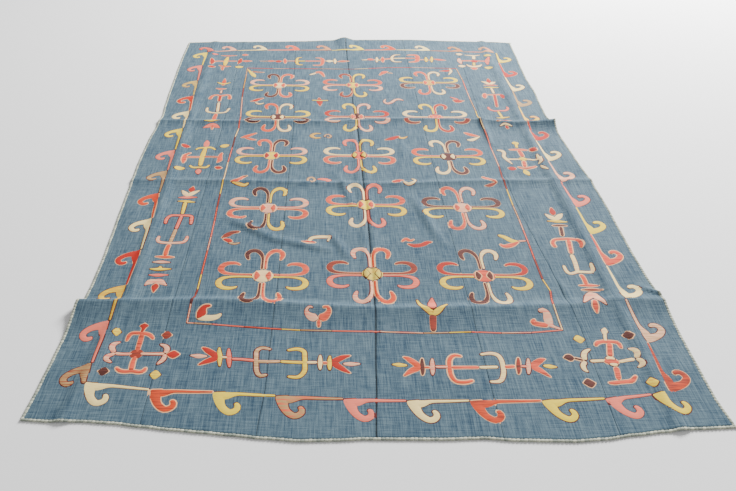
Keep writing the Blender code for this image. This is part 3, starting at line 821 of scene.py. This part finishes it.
# The wide border's motifs, between the inner frame and the hooks: a star in each corner and halfway up
# each side, and between them bars of combs, leaves and arrowheads, all couched as the horns are.
# Each motif: name, x, y, then its bands, a yarn and the stations in mm from there with their widths
BORDER_MOTIFS = (
    ("left_front_bar", -0.66, -0.53,
     ("red", (20, 320, 4), (18, 300, 22), (17, 282, 12)),
     ("cream", (-18, 292, 6), (-4, 273, 19), (9, 260, 19), (27, 275, 19), (48, 293, 5)),
     ("pink", (-24, 242, 4), (10, 244, 15), (46, 245, 4)),
     ("yellow", (-22, 218, 4), (11, 217, 14), (43, 212, 4)),
     ("yellow", (8, 211, 15), (9, 133, 12)),
     ("pink", (-40, 72, 10), (-41, 101, 13), (-30, 123, 12), (3, 125, 11), (42, 122, 12), (48, 99, 13),
      (50, 70, 10)),
     ("pink", (9, 121, 12), (3, 41, 12)),
     ("tan", (3, 41, 12), (-3, -36, 12)),
     ("pale", (-47, -1, 10), (-47, -27, 12), (-30, -38, 12), (6, -40, 11), (40, -35, 12), (49, -17, 12),
      (49, 1, 10)),
     ("orange", (-4, -47, 13), (-7, -82, 14), (-6, -112, 14)),
     ("orange", (-38, -116, 4), (-5, -117, 14), (25, -118, 4)),
     ("pale", (-41, -145, 4), (-12, -144, 14), (17, -146, 4)),
     ("yellow", (-11, -167, 14), (-10, -188, 14)),
     ("yellow", (-43, -181, 4), (-12, -182, 15), (27, -180, 4)),
     ("pink", (-40, -211, 4), (-10, -212, 14), (23, -210, 4)),
     ("pale", (-42, -263, 4), (-29, -246, 22), (-13, -241, 16), (4, -244, 22), (27, -262, 4)),
     ("red", (-7, -253, 14), (-8, -271, 20), (-8, -295, 4))),
    ("left_back_bar", -0.64, 0.52,
     ("orange", (1, 284, 4), (1, 244, 18), (0, 205, 12)),
     ("yellow", (-32, 241, 4), (-11, 225, 14), (6, 222, 12), (34, 238, 4)),
     ("coral", (-29, 170, 4), (-6, 163, 14), (19, 167, 4)),
     ("pale", (0, 147, 10), (0, 112, 10)),
     ("coral", (-43, 46, 16), (-38, 77, 13), (-19, 94, 10), (4, 84, 14), (32, 95, 10), (46, 85, 13),
      (50, 48, 16)),
     ("red", (2, 84, 16), (4, 23, 13)),
     ("cream", (4, 11, 13), (10, -89, 14)),
     ("cream", (-42, -44, 10), (-39, -79, 13), (-17, -95, 10), (19, -97, 10), (48, -88, 10), (61, -48, 11)),
     ("coral", (7, -106, 13), (3, -172, 18)),
     ("yellow", (-35, -193, 4), (-1, -193, 14), (35, -185, 4)),
     ("pink", (-33, -248, 4), (-13, -234, 22), (5, -222, 22), (24, -234, 22), (40, -247, 4)),
     ("coral", (7, -225, 14), (8, -261, 5))),
    ("left_middle_star", -0.64, 0.02,
     ("pink", (1, 139, 6), (3, 120, 20), (4, 95, 20), (6, 79, 10)),
     ("yellow", (-35, 57, 8), (-23, 71, 12), (4, 76, 12), (27, 77, 12), (47, 58, 8)),
     ("yellow", (4, 76, 14), (1, 1, 20), (3, -75, 14)),
     ("yellow", (-40, -71, 9), (-24, -87, 12), (5, -86, 12), (27, -86, 12), (39, -67, 9)),
     ("pink", (1, -99, 14), (2, -118, 22), (4, -139, 8)),
     ("coral", (-7, -3, 10), (-39, -4, 10), (-66, -4, 12)),
     ("coral", (-51, 31, 8), (-69, 14, 14), (-71, -9, 18), (-70, -32, 18), (-69, -54, 5)),
     ("coral", (8, 0, 10), (42, -1, 10), (68, -2, 12)),
     ("coral", (78, 33, 8), (74, 12, 14), (74, -11, 18), (75, -29, 18), (67, -47, 5)),
     ("red", (-98, 90, 16), (-81, 85, 25), (-63, 79, 13)),
     ("yellow", (63, 84, 13), (81, 92, 25), (99, 101, 13)),
     ("yellow", (-97, -100, 16), (-78, -96, 25), (-55, -96, 13)),
     ("red", (64, -82, 12), (78, -87, 22), (92, -89, 12))),
    ("left_back_star", -0.65, 1.03,
     ("coral", (-46, 83, 5), (-10, 79, 12), (37, 85, 5)),
     ("yellow", (-8, 63, 12), (-12, 1, 22), (-11, -59, 12)),
     ("coral", (-41, -52, 6), (-16, -67, 14), (21, -67, 5)),
     ("coral", (-20, -75, 18), (-16, -117, 8)),
     ("coral", (-19, 1, 9), (-54, 5, 9), (-77, -3, 14)),
     ("red", (-91, 35, 10), (-82, -1, 22), (-83, -41, 12)),
     ("red", (-92, -82, 12), (-79, -73, 24), (-59, -72, 10)),
     ("coral", (-8, 6, 8), (45, 7, 9)),
     ("red", (65, 42, 8), (62, 3, 22), (56, -31, 6)),
     ("coral", (75, 8, 10), (98, 8, 20), (125, 9, 6)),
     ("coral", (66, 93, 10), (81, 94, 22), (97, 94, 10)),
     ("pink", (-96, 94, 9), (-82, 98, 20), (-64, 98, 9)),
     ("yellow", (44, -74, 13), (65, -73, 27), (87, -72, 13))),
    ("right_back_bar", 0.67, 0.57,
     ("red", (14, 266, 5), (12, 238, 20), (11, 211, 16)),
     ("cream", (-26, 231, 5), (-6, 217, 19), (10, 202, 19), (30, 217, 19), (43, 224, 5)),
     ("red", (-21, 184, 4), (16, 187, 14), (44, 181, 4)),
     ("yellow", (-28, 157, 4), (10, 159, 13), (46, 156, 4)),
     ("cream", (8, 151, 12), (9, 87, 11)),
     ("coral", (-35, 88, 14), (-41, 60, 20), (-44, 35, 10)),
     ("coral", (-31, 73, 6), (4, 74, 8), (37, 76, 8)),
     ("red", (38, 81, 10), (43, 59, 18), (44, 33, 10)),
     ("red", (9, 76, 13), (1, -1, 13), (-6, -61, 12)),
     ("pink", (-47, -61, 9), (-45, -87, 12), (-25, -102, 11), (-4, -99, 11), (24, -98, 12), (41, -79, 12),
      (39, -58, 8)),
     ("yellow", (-10, -107, 12), (-3, -181, 12)),
     ("yellow", (-32, -174, 4), (-1, -172, 12), (31, -163, 4)),
     ("red", (-43, -230, 4), (-7, -215, 15), (32, -203, 4)),
     ("cream", (-34, -264, 5), (-15, -252, 12), (1, -257, 12), (18, -268, 5)),
     ("red", (-7, -263, 12), (-3, -285, 14))),
    ("right_middle_star", 0.68, 0.03,
     ("yellow", (-22, 123, 10), (-9, 130, 24), (-2, 115, 12)),
     ("yellow", (-8, 120, 12), (-11, 88, 12)),
     ("coral", (-47, 71, 8), (-20, 72, 13), (8, 72, 14), (29, 69, 8)),
     ("coral", (-8, 67, 16), (-5, 39, 16), (-4, 11, 16)),
     ("yellow", (-24, -2, 13), (-8, -5, 27), (10, -8, 13)),
     ("coral", (-8, -21, 15), (-14, -70, 15)),
     ("coral", (-43, -70, 8), (-18, -80, 13), (10, -74, 13), (33, -64, 8)),
     ("yellow", (-22, -91, 10), (-18, -113, 22), (-12, -134, 8)),
     ("cream", (-17, -7, 10), (-47, -8, 10), (-69, -8, 12)),
     ("cream", (-100, 65, 8), (-82, 64, 14), (-74, 45, 14), (-81, 14, 14), (-73, -13, 14), (-60, -48, 5)),
     ("cream", (-1, -5, 10), (54, -16, 10)),
     ("cream", (54, 23, 6), (55, -4, 14), (60, -27, 15), (45, -50, 5)),
     ("cream", (65, 1, 5), (62, -18, 10), (61, -32, 8)),
     ("red", (38, 77, 13), (50, 64, 27), (63, 52, 13)),
     ("red", (-84, -78, 13), (-70, -82, 27), (-52, -79, 13)),
     ("cream", (49, -63, 5), (57, -82, 13), (69, -101, 5))),
    ("right_front_bar", 0.69, -0.62,
     ("red", (3, 289, 5), (1, 262, 20), (-1, 240, 12)),
     ("cream", (-30, 247, 5), (-16, 228, 20), (1, 217, 19), (20, 236, 19), (33, 250, 5)),
     ("yellow", (-34, 202, 4), (1, 201, 15), (37, 197, 4)),
     ("brown", (-23, 174, 5), (4, 175, 12), (29, 174, 5)),
     ("brown", (5, 168, 12), (-4, 112, 12)),
     ("coral", (-46, 47, 14), (-49, 70, 13), (-38, 89, 12), (-13, 94, 12), (17, 95, 12), (38, 89, 12),
      (46, 68, 13), (40, 45, 10)),
     ("coral", (10, 91, 15), (-2, 13, 13)),
     ("cream", (-3, 8, 14), (-4, -37, 14), (-10, -86, 13)),
     ("cream", (-46, -51, 9), (-45, -80, 12), (-35, -93, 12), (-6, -84, 11), (29, -85, 12), (41, -77, 12),
      (44, -41, 9)),
     ("orange", (-4, -97, 14), (0, -117, 13), (-1, -148, 13)),
     ("coral", (-26, -152, 4), (6, -151, 13), (37, -152, 4)),
     ("rust", (-24, -173, 4), (11, -172, 13), (42, -173, 4)),
     ("pale", (-40, -243, 5), (-12, -207, 23), (5, -190, 19), (12, -218, 23), (27, -250, 5)),
     ("coral", (-5, -229, 12), (-9, -258, 18), (-12, -284, 5))),
    ("left_front_star", -0.66, -1.08,
     ("rust", (-22, -7, 11), (-11, -7, 29), (-2, -7, 36), (8, -6, 29), (18, -6, 11)),
     ("pale", (-13, -7, 10), (-43, -8, 10), (-62, -5, 12)),
     ("pale", (-57, 39, 6), (-72, 31, 14), (-75, 16, 15), (-64, -3, 12)),
     ("pale", (-62, -6, 12), (-78, -16, 14), (-80, -28, 14), (-63, -41, 6)),
     ("pale", (9, -6, 10), (42, -6, 10), (76, -5, 12)),
     ("pale", (57, 32, 6), (75, 23, 14), (81, 9, 15), (76, -3, 12)),
     ("pale", (78, -7, 12), (78, -23, 14), (72, -34, 13), (63, -46, 6)),
     ("coral", (-3, 73, 13), (-2, 48, 14), (-2, 19, 13), (-1, 1, 12)),
     ("coral", (-41, 43, 8), (-38, 65, 12), (-30, 74, 12), (-15, 75, 12), (8, 73, 12), (23, 66, 12),
      (34, 52, 8)),
     ("red", (-5, 79, 8), (-3, 94, 12), (-3, 103, 24), (-3, 112, 8)),
     ("coral", (-2, -16, 12), (-4, -36, 13), (-3, -55, 14), (-2, -72, 13)),
     ("coral", (-46, -59, 8), (-33, -71, 12), (-16, -74, 12), (1, -72, 12), (21, -75, 12), (32, -70, 12),
      (36, -58, 8)),
     ("red", (83, -7, 9), (102, -7, 27), (119, -6, 7)),
     ("yellow", (-89, 76, 7), (-76, 77, 29), (-64, 77, 7)),
     ("rust", (55, 69, 7), (69, 69, 29), (84, 69, 7)),
     ("brown", (-91, -73, 7), (-77, -73, 29), (-62, -73, 7)),
     ("yellow", (52, -84, 7), (66, -83, 29), (81, -83, 7))),
    ("right_front_star", 0.65, -1.08,
     ("cream", (19, 108, 11), (27, 104, 29), (36, 100, 13)),
     ("cream", (27, 99, 10), (19, 71, 9), (19, 56, 9)),
     ("coral", (-18, 43, 8), (-8, 56, 13), (8, 61, 12), (22, 61, 12), (40, 60, 12), (51, 55, 13),
      (53, 35, 8)),
     ("coral", (26, 57, 14), (17, 26, 14), (10, 2, 16)),
     ("cream", (-5, -5, 8), (8, -5, 18), (21, -6, 8)),
     ("coral", (-13, -16, 11), (7, -16, 25), (28, -17, 11)),
     ("cream", (-1, -26, 8), (10, -27, 14), (22, -27, 8)),
     ("coral", (13, -36, 15), (10, -58, 14), (5, -83, 13)),
     ("coral", (-26, -94, 8), (-12, -94, 12), (5, -91, 12), (23, -89, 12), (40, -85, 13), (57, -67, 8)),
     ("cream", (-6, -13, 10), (-30, -14, 10), (-51, -16, 12)),
     ("cream", (-37, 31, 6), (-54, 20, 13), (-63, 3, 15), (-62, -12, 13)),
     ("cream", (-64, -18, 13), (-75, -30, 14), (-76, -46, 13), (-69, -56, 6)),
     ("brown", (-121, -4, 5), (-110, -3, 22), (-100, -4, 22), (-92, -5, 8)),
     ("brown", (-92, -5, 8), (-80, -9, 8), (-69, -13, 8)),
     ("cream", (28, -17, 10), (51, -11, 10), (75, -6, 12)),
     ("cream", (71, 34, 6), (84, 28, 14), (89, 15, 15), (80, -4, 13)),
     ("cream", (79, -6, 12), (89, -15, 14), (88, -28, 14), (73, -38, 6)),
     ("yellow", (-72, 69, 7), (-57, 70, 29), (-41, 70, 7)),
     ("brown", (73, 85, 7), (88, 84, 29), (104, 84, 7)),
     ("brown", (-94, -96, 7), (-78, -96, 29), (-62, -95, 7)),
     ("yellow", (75, -92, 7), (90, -93, 29), (106, -93, 7))),
    ("front_left_bar", -0.27, -1.11,
     ("pale", (-241, 20, 4), (-218, 18, 15), (-193, 17, 6)),
     ("red", (-212, 51, 6), (-196, 40, 17), (-168, 15, 19), (-193, -2, 16), (-213, -15, 5)),
     ("yellow", (-164, 52, 5), (-162, 36, 11), (-158, 17, 14), (-156, -2, 11), (-154, -20, 5)),
     ("pink", (-137, 48, 5), (-135, 33, 11), (-132, 12, 14), (-129, -9, 11), (-127, -24, 5)),
     ("cream", (-154, 15, 8), (-137, 14, 8)),
     ("pink", (-125, 8, 9), (-95, 7, 9), (-61, 3, 10)),
     ("tan", (-17, 46, 8), (-43, 52, 11), (-57, 40, 13), (-57, 19, 13), (-55, -8, 13), (-51, -37, 13),
      (-40, -53, 12), (-22, -48, 8)),
     ("tan", (-53, 0, 11), (-17, 0, 10), (11, 1, 10)),
     ("yellow", (11, 1, 10), (41, -1, 10), (74, -2, 11)),
     ("yellow", (28, 43, 8), (56, 49, 12), (75, 40, 13), (78, 17, 13), (79, -9, 13), (78, -35, 13),
      (62, -55, 12), (33, -54, 8)),
     ("cream", (83, -2, 10), (113, -1, 10)),
     ("cream", (121, 27, 5), (121, 14, 11), (121, -1, 13), (121, -16, 11), (121, -29, 5)),
     ("yellow", (148, 24, 5), (147, 10, 11), (147, -5, 13), (147, -19, 11), (147, -30, 5)),
     ("coral", (127, -3, 8), (143, -3, 8)),
     ("red", (205, 26, 5), (182, 18, 16), (160, -1, 19), (181, -23, 16), (203, -39, 5)),
     ("pale", (184, -6, 8), (207, -6, 14), (231, -5, 5))),
    ("front_right_bar", 0.28, -1.12,
     ("yellow", (-231, 4, 4), (-212, 3, 14), (-190, 1, 6)),
     ("orange", (-198, 33, 5), (-182, 23, 16), (-160, -3, 19), (-181, -19, 16), (-202, -37, 5)),
     ("brown", (-146, 28, 5), (-148, 12, 11), (-149, -6, 13), (-150, -21, 11), (-152, -35, 5)),
     ("pale", (-118, 28, 5), (-120, 13, 11), (-121, -4, 13), (-123, -21, 11), (-125, -35, 5)),
     ("orange", (-144, -6, 7), (-128, -6, 7)),
     ("pale", (-114, -4, 9), (-78, -4, 10)),
     ("orange", (-35, 37, 8), (-55, 40, 11), (-70, 25, 13), (-75, -6, 13), (-75, -35, 13), (-65, -56, 12),
      (-41, -59, 12), (-18, -52, 8)),
     ("coral", (-70, -6, 11), (-32, -5, 10), (6, -4, 10)),
     ("cream", (6, -4, 10), (59, -1, 10)),
     ("cream", (18, 45, 8), (47, 50, 11), (66, 44, 13), (73, 27, 13), (73, 1, 13), (68, -28, 13),
      (54, -52, 12), (26, -56, 8)),
     ("orange", (76, -1, 10), (106, 2, 10)),
     ("rust", (122, 35, 5), (119, 20, 11), (115, 2, 13), (113, -13, 11), (109, -27, 5)),
     ("pale", (149, 32, 5), (146, 17, 11), (143, 2, 13), (140, -13, 11), (136, -27, 5)),
     ("pale", (120, 2, 8), (139, 2, 8)),
     ("coral", (196, 31, 5), (181, 25, 16), (158, 4, 19), (174, -14, 16), (194, -36, 5)),
     ("yellow", (184, 5, 8), (202, 3, 14), (221, 1, 5))),
    ("back_left_bar", -0.24, 1.04,
     ("brown", (-242, 1, 3), (-215, 0, 9), (-194, 1, 12)),
     ("coral", (-202, 1, 8), (-181, 1, 18), (-162, 1, 8)),
     ("red", (-162, 1, 10), (-143, -1, 28), (-126, 2, 10)),
     ("coral", (-112, 34, 6), (-109, 3, 18), (-107, -30, 6)),
     ("pale", (-103, 4, 8), (-54, 5, 8)),
     ("yellow", (-21, 55, 6), (-43, 46, 12), (-48, 4, 15), (-40, -40, 13), (-14, -48, 8)),
     ("yellow", (-45, 4, 11), (-3, 5, 11)),
     ("orange", (-3, 5, 11), (84, 5, 11)),
     ("coral", (52, 51, 6), (76, 48, 12), (89, 29, 16), (89, -15, 16), (79, -52, 13), (40, -54, 8)),
     ("pale", (95, 7, 9), (116, 7, 9)),
     ("cream", (106, 6, 9), (126, 6, 27), (146, 7, 9)),
     ("cream", (153, 40, 7), (155, 8, 17), (155, -31, 7)),
     ("coral", (169, 1, 6), (197, 7, 20), (229, 10, 4))),
    ("back_right_bar", 0.27, 1.08,
     ("cream", (-215, -13, 3), (-194, -11, 10), (-179, -8, 10)),
     ("coral", (-185, -8, 8), (-167, -4, 24), (-145, -9, 8)),
     ("cream", (-131, 27, 6), (-131, -8, 16), (-135, -43, 6)),
     ("green", (-124, -12, 14), (-112, -15, 14)),
     ("coral", (-99, 27, 7), (-101, -8, 18), (-102, -42, 7)),
     ("coral", (-95, -1, 11), (-59, 8, 11)),
     ("cream", (-1, 60, 6), (-34, 54, 12), (-51, 16, 15), (-43, -30, 13), (-2, -35, 8)),
     ("cream", (-50, 12, 10), (21, 14, 10)),
     ("red", (21, 14, 10), (85, 15, 10)),
     ("coral", (34, 54, 8), (57, 59, 14), (85, 52, 20), (87, 13, 22), (77, -25, 18), (37, -39, 9)),
     ("pale", (93, -4, 9), (121, -3, 9)),
     ("yellow", (133, 34, 7), (131, -3, 18), (128, -34, 7)),
     ("brown", (139, -4, 12), (152, -4, 14)),
     ("yellow", (166, 41, 7), (162, 5, 16), (156, -37, 7)),
     ("orange", (174, 8, 5), (200, 0, 20), (234, -7, 4))),
    ("right_back_star", 0.65, 1.06,
     ("cream", (-34, 89, 5), (13, 81, 13), (51, 90, 5)),
     ("cream", (14, 75, 16), (7, 30, 16)),
     ("red", (-17, 9, 9), (6, 4, 31), (25, 9, 9)),
     ("coral", (-63, 8, 11), (-8, 9, 11)),
     ("pale", (-72, 42, 10), (-72, 7, 24), (-70, -35, 10)),
     ("cream", (-92, -65, 9), (-72, -65, 29), (-52, -64, 9)),
     ("cream", (-79, 103, 9), (-60, 100, 29), (-43, 96, 9)),
     ("coral", (16, 9, 11), (72, 3, 11)),
     ("pink", (90, 52, 8), (73, 7, 22), (68, -44, 8)),
     ("yellow", (68, 80, 9), (88, 77, 27), (108, 80, 9)),
     ("yellow", (43, -80, 9), (64, -86, 29), (84, -92, 9)),
     ("green", (0, -14, 14), (-7, -61, 14)),
     ("cream", (-45, -44, 5), (-29, -66, 19), (-9, -71, 18), (16, -64, 19), (37, -42, 5)),
     ("coral", (-28, -93, 8), (-13, -95, 28), (4, -95, 8))),
)
BAND_LIFT, BAND_LIFTS = 0.00005, 7
MOTIF_STOUT, FILLER_STOUT = 1.35, 1.45  # the yarn spreads past the width in a chart


def stitch_bands(mesh, x, y, bands, stout):
    """A motif's bands in the order they were worked, each a hair above the one before, up to seven."""
    for order, (yarn, *chart) in enumerate(bands):
        stitch(mesh, set_out(chart, x, y, stout=stout), yarn, lift=BAND_LIFT * (order % BAND_LIFTS))


for name, x, y, *bands in BORDER_MOTIFS:
    mesh = needlework()
    stitch_bands(mesh, x, y, bands, MOTIF_STOUT)
    lay_on_cloth(mesh)
    new_piece(f"motif_{name}", mesh, EMBROIDERY)

# The small fillers between the crosses: leaves, hooks and scraps of yarn, no two alike. Six groups, each
# x and y, then its bands as above.
FILLERS = (
    (-0.33, 0.72,
     ("yellow", (-206, 208, 5), (-188, 170, 14), (-170, 134, 20), (-160, 107, 6)),
     ("rust", (-179, 180, 12), (-150, 173, 11), (-120, 171, 4)),
     ("cream", (113, 143, 8), (132, 156, 13), (147, 169, 12)),
     ("coral", (144, 171, 12), (165, 179, 18), (180, 152, 14), (188, 121, 6)),
     ("red", (-158, -175, 4), (-137, -167, 18), (-122, -153, 16), (-100, -140, 5)),
     ("cream", (-135, -188, 8), (-115, -203, 12), (-94, -195, 5)),
     ("green", (131, -155, 9), (167, -158, 10), (207, -157, 9)),
     ("red", (164, -129, 6), (167, -169, 24), (170, -216, 5))),
    (0.33, 0.73,
     ("red", (124, 197, 4), (157, 201, 18), (180, 208, 10)),
     ("cream", (179, 230, 9), (180, 193, 13), (163, 151, 5)),
     ("coral", (-191, 136, 6), (-167, 172, 22), (-146, 185, 12)),
     ("brown", (-149, 172, 10), (-125, 163, 5)),
     ("pale", (-180, -148, 5), (-188, -174, 10), (-175, -195, 13), (-154, -181, 13), (-135, -154, 13),
      (-115, -147, 14), (-96, -160, 4)),
     ("pink", (131, -118, 4), (148, -131, 12), (165, -145, 12)),
     ("red", (140, -150, 8), (160, -161, 28), (191, -157, 4))),
    (-0.29, 0.01,
     ("orange", (-207, 176, 5), (-186, 188, 18), (-167, 203, 13), (-144, 219, 7)),
     ("coral", (-190, 178, 8), (-163, 163, 13), (-141, 158, 5)),
     ("gold", (135, 220, 6), (110, 219, 11), (95, 200, 16), (110, 181, 13), (135, 182, 6)),
     ("tan", (151, 189, 6), (155, 208, 7), (170, 211, 8), (178, 195, 8), (169, 180, 7), (161, 191, 5)),
     ("coral", (-209, -192, 5), (-185, -179, 20), (-171, -153, 13), (-159, -141, 10)),
     ("brown", (-167, -148, 10), (-152, -136, 6)),
     ("yellow", (-205, -196, 5), (-178, -205, 16), (-156, -211, 15), (-141, -198, 6)),
     ("tan", (86, -177, 7), (89, -151, 9), (104, -145, 9), (113, -163, 9), (105, -189, 8), (96, -174, 6)),
     ("pink", (123, -158, 7), (145, -158, 16), (168, -169, 18), (159, -183, 6))),
    (0.32, 0.0,
     ("red", (-201, 177, 6), (-172, 190, 20), (-137, 211, 14)),
     ("gold", (-142, 195, 12), (-121, 196, 13), (-102, 210, 4)),
     ("orange", (149, 251, 8), (172, 233, 18), (208, 216, 6)),
     ("cream", (150, 185, 7), (172, 185, 18), (211, 216, 5)),
     ("red", (-196, -175, 10), (-183, -167, 26), (-167, -151, 14), (-151, -151, 8)),
     ("cream", (-154, -169, 8), (-139, -186, 15), (-117, -175, 13), (-106, -148, 8), (-120, -139, 6)),
     ("coral", (159, -119, 10), (179, -140, 18), (206, -167, 6)),
     ("rust", (157, -189, 5), (177, -185, 15), (206, -167, 5))),
    (-0.31, -0.74,
     ("rust", (-181, 202, 5), (-166, 217, 18), (-149, 233, 16), (-123, 240, 9)),
     ("red", (-175, 196, 8), (-156, 188, 17), (-143, 180, 10)),
     ("tan", (-154, 174, 9), (-133, 169, 9), (-117, 175, 5)),
     ("cream", (121, 179, 10), (123, 198, 13), (135, 209, 14), (163, 213, 15), (195, 212, 12)),
     ("cream", (190, 208, 12), (183, 188, 5)),
     ("red", (95, 181, 4), (115, 182, 16), (142, 180, 8)),
     ("red", (-202, -204, 10), (-194, -186, 24), (-192, -170, 20), (-185, -158, 14), (-169, -154, 9)),
     ("cream", (-203, -206, 8), (-184, -202, 18), (-160, -201, 18), (-144, -195, 14), (-135, -184, 7)),
     ("coral", (156, -205, 11), (156, -234, 8)),
     ("pale", (137, -159, 6), (127, -156, 7), (118, -169, 9), (124, -185, 17), (138, -196, 25),
      (154, -200, 22)),
     ("coral", (168, -157, 7), (181, -156, 9), (186, -169, 12), (180, -184, 18), (168, -196, 25),
      (155, -201, 20))),
    (0.34, -0.75,
     ("red", (-195, 188, 6), (-174, 178, 16), (-147, 182, 16), (-127, 196, 15), (-111, 199, 5)),
     ("orange", (-214, 201, 5), (-198, 215, 14), (-185, 206, 9), (-171, 214, 4)),
     ("yellow", (123, 243, 11), (144, 231, 16), (163, 212, 18), (186, 208, 8)),
     ("coral", (119, 191, 6), (133, 180, 15), (158, 187, 17), (185, 207, 8)),
     ("pale", (185, 209, 8), (212, 213, 7)),
     ("yellow", (-195, -98, 5), (-183, -135, 14), (-162, -160, 18), (-153, -168, 16), (-137, -155, 17),
      (-105, -121, 5)),
     ("pink", (-147, -88, 4), (-151, -115, 20), (-155, -150, 22)),
     ("rust", (-155, -169, 18), (-158, -201, 17), (-161, -236, 14)),
     ("pale", (164, -155, 12), (175, -147, 15), (185, -158, 18), (184, -184, 22), (185, -202, 18),
      (195, -212, 9), (212, -220, 7)),
     ("coral", (144, -183, 8), (138, -196, 16), (154, -203, 16), (179, -206, 16))),
)
mesh = needlework()
for x, y, *bands in FILLERS:
    stitch_bands(mesh, x, y, bands, FILLER_STOUT)
lay_on_cloth(mesh)
new_piece("field_fillers", mesh, EMBROIDERY)

# The studio: a plain pale floor, a bright even sky, one broad soft light from behind on the right, and
# a camera where the photograph's was.
FLOOR_HALF, FLOOR_DROP = 12.0, 0.0008
FLOOR_PAINT, SKY_WHITE = (0.9, 0.9, 0.9, 1.0), (1.0, 1.0, 1.0, 1.0)
SKY_STRENGTH = 0.50
LAMP_PLACE, LAMP_SIZE, LAMP_WATTS = (3.1, 4.6, 3.0), 2.2, 1640.0
CAMERA_PLACE = (-0.150, -2.407, 1.384)
CAMERA_TURN, CAMERA_DOWN, CAMERA_ROLL = 0.34, 37.04, 0.36  # degrees
SENSOR_MM, LENS_MM, LENS_SHIFT = 36.0, 33.12, 0.0683

mesh = bmesh.new()
bmesh.ops.create_grid(mesh, x_segments=1, y_segments=1, size=FLOOR_HALF)
for vert in mesh.verts:
    vert.co.z = -FLOOR_DROP
data = bpy.data.meshes.new("floor")
mesh.to_mesh(data)
mesh.free()
floor_look, _, floor_shader = look("pale_floor", roughness=0.9)
floor_shader.inputs["Base Color"].default_value = FLOOR_PAINT
data.materials.append(floor_look)
floor = bpy.data.objects.new("floor", data)
bpy.context.scene.collection.objects.link(floor)

world = bpy.data.worlds.new("studio")
world.use_nodes = True
world.node_tree.nodes["Background"].inputs["Color"].default_value = SKY_WHITE
world.node_tree.nodes["Background"].inputs["Strength"].default_value = SKY_STRENGTH
bpy.context.scene.world = world
lamp = bpy.data.lights.new("soft light", "AREA")
lamp.energy = LAMP_WATTS
lamp.size = LAMP_SIZE
light = bpy.data.objects.new("soft light", lamp)
bpy.context.scene.collection.objects.link(light)
light.location = LAMP_PLACE
light.rotation_euler = (-light.location).to_track_quat("-Z", "Y").to_euler()

lens = bpy.data.cameras.new("camera")
lens.sensor_width = SENSOR_MM
lens.lens = LENS_MM
lens.shift_x = LENS_SHIFT
camera = bpy.data.objects.new("camera", lens)
bpy.context.scene.collection.objects.link(camera)
camera.matrix_world = (
    Matrix.Translation(CAMERA_PLACE)
    @ Matrix.Rotation(radians(CAMERA_TURN), 4, "Z")
    @ Matrix.Rotation(radians(90.0 - CAMERA_DOWN), 4, "X")
    @ Matrix.Rotation(radians(CAMERA_ROLL), 4, "Z")
)
bpy.context.scene.camera = camera
